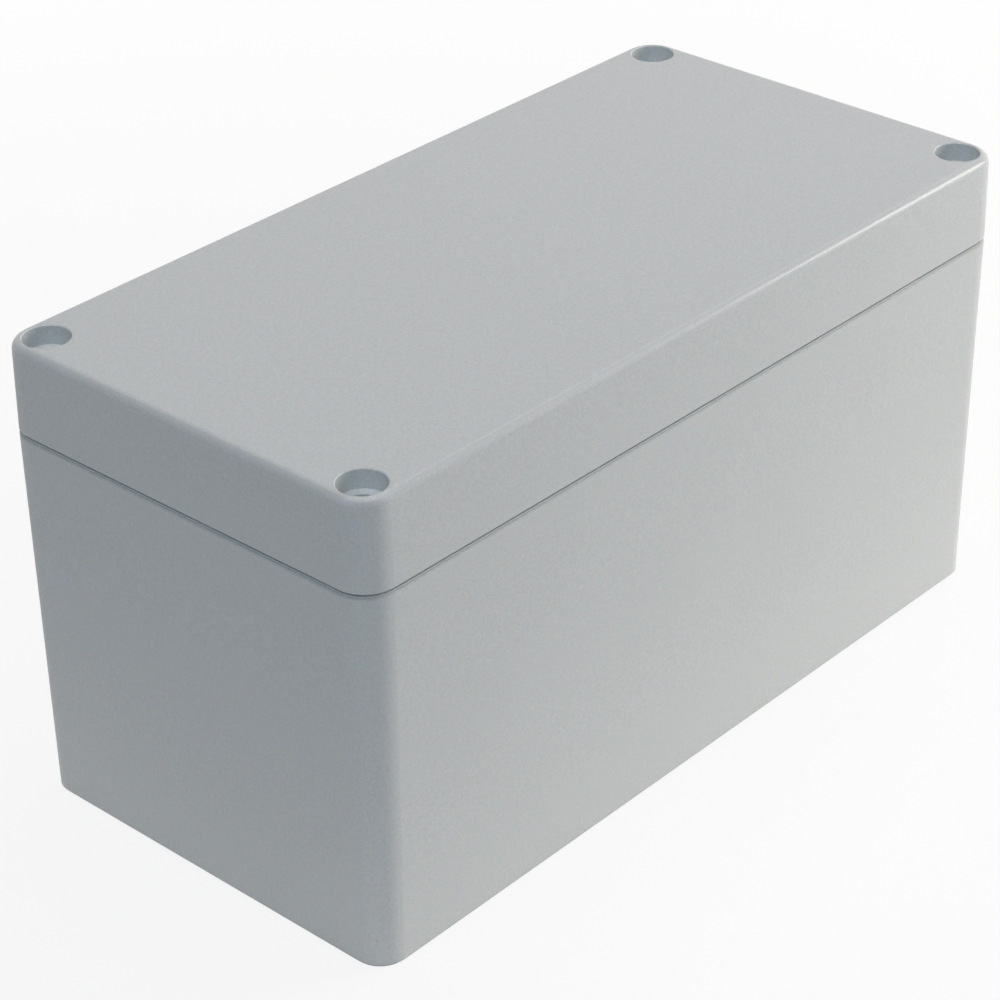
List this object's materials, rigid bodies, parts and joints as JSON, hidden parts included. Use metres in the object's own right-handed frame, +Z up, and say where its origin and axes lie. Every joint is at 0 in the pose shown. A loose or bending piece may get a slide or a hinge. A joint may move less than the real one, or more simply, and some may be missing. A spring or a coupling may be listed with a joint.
{
  "type": "polycarbonate enclosure",
  "caption": "Rectangular moulded polycarbonate enclosure with a deep base and a shallow gasketed lid held by screws in open corner wells.",
  "frame": {"origin": "centre of the base's underside, on the surface the enclosure rests on", "axes": "+X along the length, +Y across the width, +Z up through the lid"},
  "size_m": [0.16, 0.08, 0.085],
  "materials": {
    "polycarbonate": "fine moulded grain, light grey",
    "gasket_rubber": "matte cellular rubber",
    "screw_steel": "plain stainless steel",
    "insert_brass": "turned and knurled brass"
  },
  "bodies": {
    "base_body": {"base": "polycarbonate", "insert_1": "insert_brass", "insert_2": "insert_brass", "insert_3": "insert_brass", "insert_4": "insert_brass"},
    "lid_body": {"lid": "polycarbonate", "gasket": "gasket_rubber"},
    "screw_body_1": {"lid_screw_1": "screw_steel"},
    "screw_body_2": {"lid_screw_2": "screw_steel"},
    "screw_body_3": {"lid_screw_3": "screw_steel"},
    "screw_body_4": {"lid_screw_4": "screw_steel"}
  },
  "joints": [
    {"name": "lid_lift", "type": "slide", "parent": "base_body", "child": "lid_body", "axis": [0, 0, 1], "range_m": [0, 0.09]},
    {"name": "lid_screw_1_out", "type": "slide", "parent": "lid_body", "child": "screw_body_1", "axis": [0, 0, 1], "range_m": [0, 0.0084]},
    {"name": "lid_screw_2_out", "type": "slide", "parent": "lid_body", "child": "screw_body_2", "axis": [0, 0, 1], "range_m": [0, 0.0084]},
    {"name": "lid_screw_3_out", "type": "slide", "parent": "lid_body", "child": "screw_body_3", "axis": [0, 0, 1], "range_m": [0, 0.0084]},
    {"name": "lid_screw_4_out", "type": "slide", "parent": "lid_body", "child": "screw_body_4", "axis": [0, 0, 1], "range_m": [0, 0.0084]}
  ]
}
